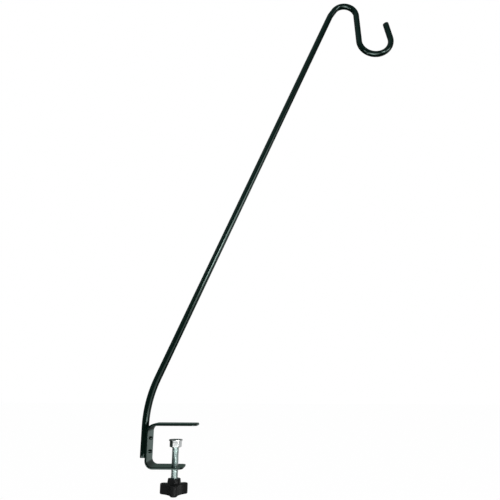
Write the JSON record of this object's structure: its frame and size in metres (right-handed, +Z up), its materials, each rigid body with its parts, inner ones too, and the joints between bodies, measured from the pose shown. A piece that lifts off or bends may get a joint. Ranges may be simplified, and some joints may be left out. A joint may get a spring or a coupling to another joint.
{
  "type": "clamp-on deck hook",
  "caption": "Hanging hook for a deck rail: a leaning round rod ends in an arch and an open hook, and a C clamp with a screw, pressure pad and lobed knob grips the rail.",
  "frame": {"origin": "where the clamp screw's axis meets the rail seat, the underside of the top jaw", "axes": "+X out of the throat, the way the hook reaches; +Y across the flat bar; +Z up along the clamp screw"},
  "size_m": [0.4986, 0.0513, 1.0006],
  "materials": {
    "powder_coat": "gloss black-green powder coat on steel",
    "zinc_steel": "bright zinc plate",
    "black_plastic": "smooth moulded black plastic"
  },
  "bodies": {
    "hanger": {"hook_rod": "powder_coat", "clamp_bracket": "powder_coat", "weld_upper": "powder_coat", "weld_lower": "powder_coat"},
    "pad": {"pressure_pad": "zinc_steel"},
    "clamp_screw": {"clamp_stud": "zinc_steel", "lock_nut": "zinc_steel", "knob": "black_plastic", "knob_insert": "zinc_steel"}
  },
  "joints": [
    {"name": "screw_travel", "type": "slide", "parent": "hanger", "child": "pad", "axis": [0, 0, 1], "range_m": [-0.0289, 0.0158]},
    {"name": "screw_turn", "type": "hinge", "parent": "pad", "child": "clamp_screw", "pos_m": [0, 0, -0.06], "axis": [0, 0, 1], "range_deg": [-5945, 3250]}
  ],
  "couplings": [
    {"joint": "screw_travel", "follows": "screw_turn", "m_per_rad": 0.00027852}
  ]
}
